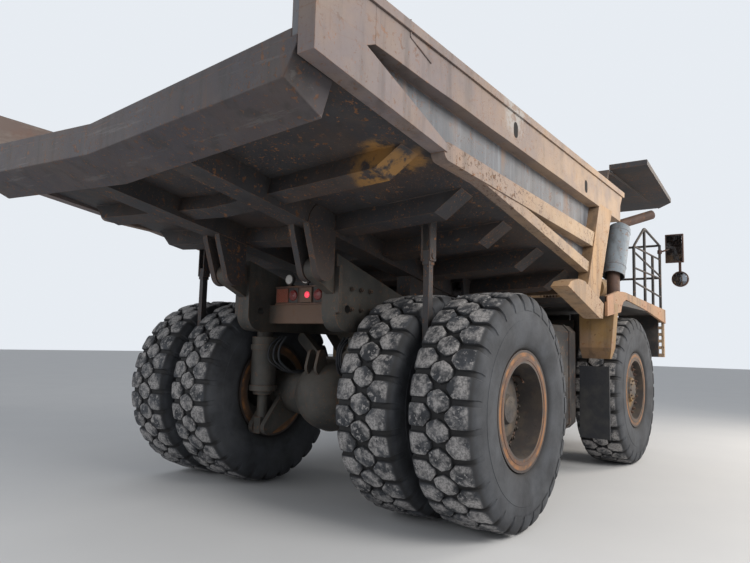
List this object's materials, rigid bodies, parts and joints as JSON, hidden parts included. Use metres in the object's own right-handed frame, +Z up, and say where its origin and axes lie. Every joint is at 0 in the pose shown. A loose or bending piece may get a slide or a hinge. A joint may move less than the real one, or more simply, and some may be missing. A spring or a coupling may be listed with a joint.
{
  "type": "rigid haul truck",
  "caption": "Off-highway rigid haul truck: tipping dump body with cab canopy on a box frame, twin rear tyres, steered front wheels, offset cab and telescopic hoists.",
  "frame": {"origin": "on the ground below the middle of the truck's length and width", "axes": "+X forward, +Y to the driver's left, +Z up"},
  "size_m": [9.4, 5.26, 4.12],
  "materials": {
    "painted": "faded yellow-orange paint with dirt",
    "body_paint": "faded tan paint, scratched and dusty",
    "worn_steel": "dirty worn plate",
    "chassis_steel": "dark oily paint with mud",
    "rod_chrome": "polished",
    "black_steel": "satin black",
    "muffler_metal": "dull grey coating",
    "tyre": "worn tread with dried mud",
    "rubber": "matte",
    "glass": "tinted",
    "cab_trim": "grained",
    "seat_fabric": "woven",
    "lamp": "clear lens"
  },
  "bodies": {
    "chassis": {"frame": "chassis_steel", "bumper": "painted", "powertrain": "chassis_steel", "rear_axle": "chassis_steel", "rear_struts": "chassis_steel", "front_struts": "chassis_steel", "fuel_tank": "black_steel", "hydraulic_tank": "painted", "deck_right": "painted", "deck_left": "painted", "hood": "painted", "grille": "black_steel", "cab_shell": "painted", "cab_glass": "glass", "seat": "seat_fabric", "dashboard": "cab_trim", "handrails": "black_steel", "ladder": "black_steel", "exhaust": "muffler_metal", "air_cleaners": "painted", "lamps": "lamp", "mirrors": "black_steel", "mudflaps": "rubber"},
    "cab_door": {"cab_door": "painted", "door_glass": "glass"},
    "bed": {"bed_floor": "worn_steel", "bed_beams": "worn_steel", "bed_side_right": "body_paint", "bed_side_left": "body_paint", "bed_front": "body_paint", "canopy": "worn_steel", "rock_ejectors": "worn_steel"},
    "tie_rod": {"tie_rod": "chassis_steel"},
    "knuckle_right": {"knuckle_right": "chassis_steel"},
    "front_wheel_right": {"front_tyre_right": "tyre", "front_rim_right": "painted"},
    "rear_wheels_right": {"rear_tyres_right": "tyre", "rear_rims_right": "painted"},
    "hoist_barrel_right": {"hoist_barrel_right": "chassis_steel"},
    "hoist_stage_right": {"hoist_stage_right": "rod_chrome"},
    "hoist_rod_right": {"hoist_rod_right": "rod_chrome"},
    "knuckle_left": {"knuckle_left": "chassis_steel"},
    "front_wheel_left": {"front_tyre_left": "tyre", "front_rim_left": "painted"},
    "rear_wheels_left": {"rear_tyres_left": "tyre", "rear_rims_left": "painted"},
    "hoist_barrel_left": {"hoist_barrel_left": "chassis_steel"},
    "hoist_stage_left": {"hoist_stage_left": "rod_chrome"},
    "hoist_rod_left": {"hoist_rod_left": "rod_chrome"}
  },
  "joints": [
    {"name": "bed_tilt", "type": "hinge", "parent": "chassis", "child": "bed", "pos_m": [-2.75, 0, 2.33], "axis": [0, -1, 0], "range_deg": [0, 50]},
    {"name": "cab_door_hinge", "type": "hinge", "parent": "chassis", "child": "cab_door", "pos_m": [3.452, 1.752, 3], "axis": [0, 0, -1], "range_deg": [0, 80]},
    {"name": "steer_right", "type": "hinge", "parent": "chassis", "child": "knuckle_right", "pos_m": [2.8, -1.25, 1.075], "axis": [0, 0, 1], "range_deg": [-39, 39]},
    {"name": "front_wheel_right_spin", "type": "hinge", "parent": "knuckle_right", "child": "front_wheel_right", "pos_m": [2.8, -1.79, 1.075], "axis": [0, 1, 0], "continuous": true},
    {"name": "rear_wheels_right_spin", "type": "hinge", "parent": "chassis", "child": "rear_wheels_right", "pos_m": [-1.7, -1.59, 1.075], "axis": [0, 1, 0], "continuous": true},
    {"name": "hoist_right_swing", "type": "hinge", "parent": "chassis", "child": "hoist_barrel_right", "pos_m": [-0.375, -0.81, 0.86], "axis": [0, -1, 0], "range_deg": [0, 15.61]},
    {"name": "hoist_right_lower_stage", "type": "slide", "parent": "hoist_barrel_right", "child": "hoist_stage_right", "axis": [0.0382, 0, 0.9993], "range_m": [0, 0.983]},
    {"name": "hoist_right_upper_stage", "type": "slide", "parent": "hoist_stage_right", "child": "hoist_rod_right", "axis": [0.0382, 0, 0.9993], "range_m": [0, 0.983]},
    {"name": "steer_left", "type": "hinge", "parent": "chassis", "child": "knuckle_left", "pos_m": [2.8, 1.25, 1.075], "axis": [0, 0, 1], "range_deg": [-39, 39]},
    {"name": "front_wheel_left_spin", "type": "hinge", "parent": "knuckle_left", "child": "front_wheel_left", "pos_m": [2.8, 1.79, 1.075], "axis": [0, 1, 0], "continuous": true},
    {"name": "rear_wheels_left_spin", "type": "hinge", "parent": "chassis", "child": "rear_wheels_left", "pos_m": [-1.7, 1.59, 1.075], "axis": [0, 1, 0], "continuous": true},
    {"name": "hoist_left_swing", "type": "hinge", "parent": "chassis", "child": "hoist_barrel_left", "pos_m": [-0.375, 0.81, 0.86], "axis": [0, -1, 0], "range_deg": [0, 15.61]},
    {"name": "hoist_left_lower_stage", "type": "slide", "parent": "hoist_barrel_left", "child": "hoist_stage_left", "axis": [0.0382, 0, 0.9993], "range_m": [0, 0.983]},
    {"name": "hoist_left_upper_stage", "type": "slide", "parent": "hoist_stage_left", "child": "hoist_rod_left", "axis": [0.0382, 0, 0.9993], "range_m": [0, 0.983]},
    {"name": "tie_rod_turn", "type": "hinge", "parent": "knuckle_right", "child": "tie_rod", "pos_m": [2.4, -1.25, 0.93], "axis": [0, 0, 1], "range_deg": [-39, 39]}
  ],
  "couplings": [
    {"joint": "hoist_right_swing", "follows": "bed_tilt", "ratio": 0.31206},
    {"joint": "hoist_right_lower_stage", "follows": "bed_tilt", "m_per_rad": 1.1253},
    {"joint": "hoist_right_upper_stage", "follows": "bed_tilt", "m_per_rad": 1.1253},
    {"joint": "hoist_left_swing", "follows": "bed_tilt", "ratio": 0.31206},
    {"joint": "hoist_left_lower_stage", "follows": "bed_tilt", "m_per_rad": 1.1253},
    {"joint": "hoist_left_upper_stage", "follows": "bed_tilt", "m_per_rad": 1.1253},
    {"joint": "steer_left", "follows": "steer_right", "ratio": 1},
    {"joint": "tie_rod_turn", "follows": "steer_right", "ratio": -1}
  ]
}
